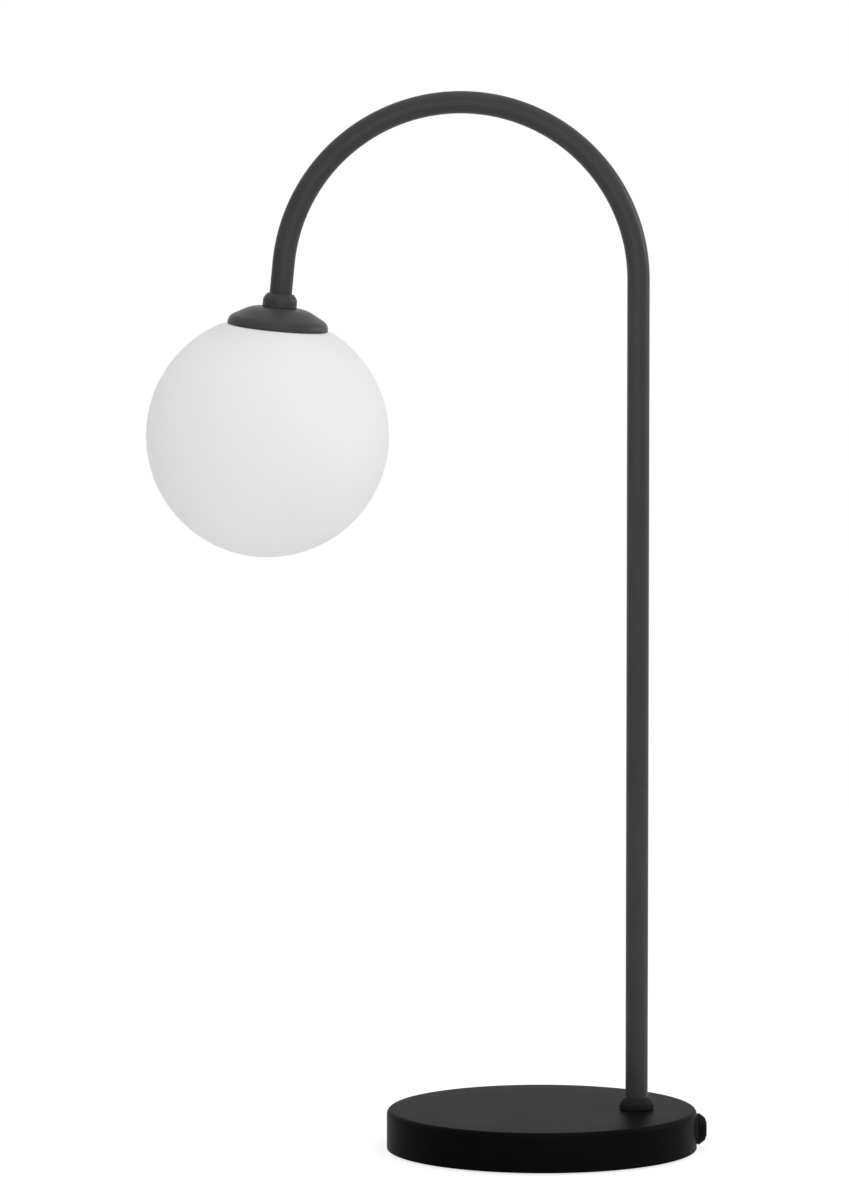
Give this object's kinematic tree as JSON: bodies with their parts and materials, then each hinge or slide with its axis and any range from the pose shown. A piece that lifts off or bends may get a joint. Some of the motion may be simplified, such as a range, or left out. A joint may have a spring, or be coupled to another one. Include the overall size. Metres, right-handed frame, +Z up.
{
  "type": "table lamp",
  "caption": "Arched table lamp: a round weighted base, a bent tube stem and a hanging opal glass globe under a shallow cup, with a push switch in the side of the base.",
  "frame": {"origin": "middle of the base on the face that rests on the table", "axes": "+Z up, +X from the middle of the base towards the stem and the push switch, +Y to the rear, where the cord inlet is"},
  "size_m": [0.3243, 0.1822, 0.6148],
  "materials": {
    "black_coat": "satin black powder coat",
    "opal_glass": "opal white glass, etched matt",
    "clear_glass": "clear blown glass",
    "dark_glass": "dark fused glass insulator",
    "iron": "rough casting",
    "zinc_steel": "zinc plated",
    "brass": "machined brass",
    "ring_aluminium": "turned, matt",
    "spring_steel": "hard drawn wire",
    "black_plastic": "moulded, fine grain",
    "switch_plastic": "satin moulded black",
    "white_plastic": "moulded polyamide",
    "ceramic": "unglazed steatite",
    "black_rubber": "soft black rubber",
    "silicone": "translucent white silicone",
    "foam_pad": "fine closed-cell foam",
    "cable_jacket": "white jacket",
    "core_insulation": "brown and blue insulation",
    "earth_insulation": "green and yellow insulation",
    "filament": "phosphor coating"
  },
  "bodies": {
    "stand": {"base_cover": "black_coat", "base_weight": "iron", "base_plate": "zinc_steel", "plate_screws": "zinc_steel", "base_pad": "foam_pad", "foot_collar": "black_coat", "foot_nipple": "zinc_steel", "foot_washer": "zinc_steel", "foot_nut": "zinc_steel", "inlet_bushing": "black_plastic", "inlet_nut": "black_plastic", "switch_bezel": "switch_plastic", "switch_gasket": "black_rubber", "switch_nut": "zinc_steel", "switch_body": "black_plastic", "switch_tabs": "brass", "button_spring": "spring_steel", "terminal_block": "white_plastic", "terminal_sleeves": "brass", "clamp_screws": "zinc_steel", "block_screws": "zinc_steel", "earth_tag": "brass", "earth_screw": "zinc_steel", "earth_lead": "earth_insulation", "switch_lead": "core_insulation", "foot_cores": "core_insulation", "stem_tube": "black_coat", "stem_cable": "cable_jacket", "head_collar": "black_coat", "head_nipple": "zinc_steel", "head_washer": "zinc_steel", "head_nut": "zinc_steel", "shade_cup": "black_coat", "globe_carrier": "ring_aluminium", "holder_cap": "black_plastic", "holder_insert": "ceramic", "holder_screws": "zinc_steel", "holder_shell": "brass", "holder_tongue": "brass", "holder_skirt": "black_plastic", "holder_cores": "core_insulation"},
    "button": {"push_button": "switch_plastic"},
    "seat": {"seat_washer": "silicone"},
    "globe": {"globe_glass": "opal_glass", "neck_ring": "ring_aluminium"},
    "bulb": {"bulb_contact": "zinc_steel", "bulb_insulator": "dark_glass", "bulb_cap": "zinc_steel", "bulb_glass": "clear_glass", "bulb_mount": "clear_glass", "bulb_filaments": "filament"}
  },
  "joints": [
    {"name": "button_press", "type": "slide", "parent": "stand", "child": "button", "axis": [-1, 0, 0], "range_m": [0, 0.0015], "stiffness_N_per_m": 1200, "springref_m": -0.001, "deforming": ["button_spring"]},
    {"name": "globe_travel", "type": "slide", "parent": "stand", "child": "seat", "axis": [-0.0941, 0, -0.9956], "range_m": [0, 0.003]},
    {"name": "globe_turn", "type": "hinge", "parent": "seat", "child": "globe", "pos_m": [-0.15267, 0, 0.47839], "axis": [-0.0941, 0, -0.9956], "range_deg": [0, 1080]},
    {"name": "bulb_turn", "type": "hinge", "parent": "stand", "child": "bulb", "pos_m": [-0.15643, 0, 0.43857], "axis": [-0.0941, 0, -0.9956], "range_deg": [0, 1080]}
  ],
  "couplings": [
    {"joint": "globe_travel", "follows": "globe_turn", "m_per_rad": 0.00015915}
  ]
}
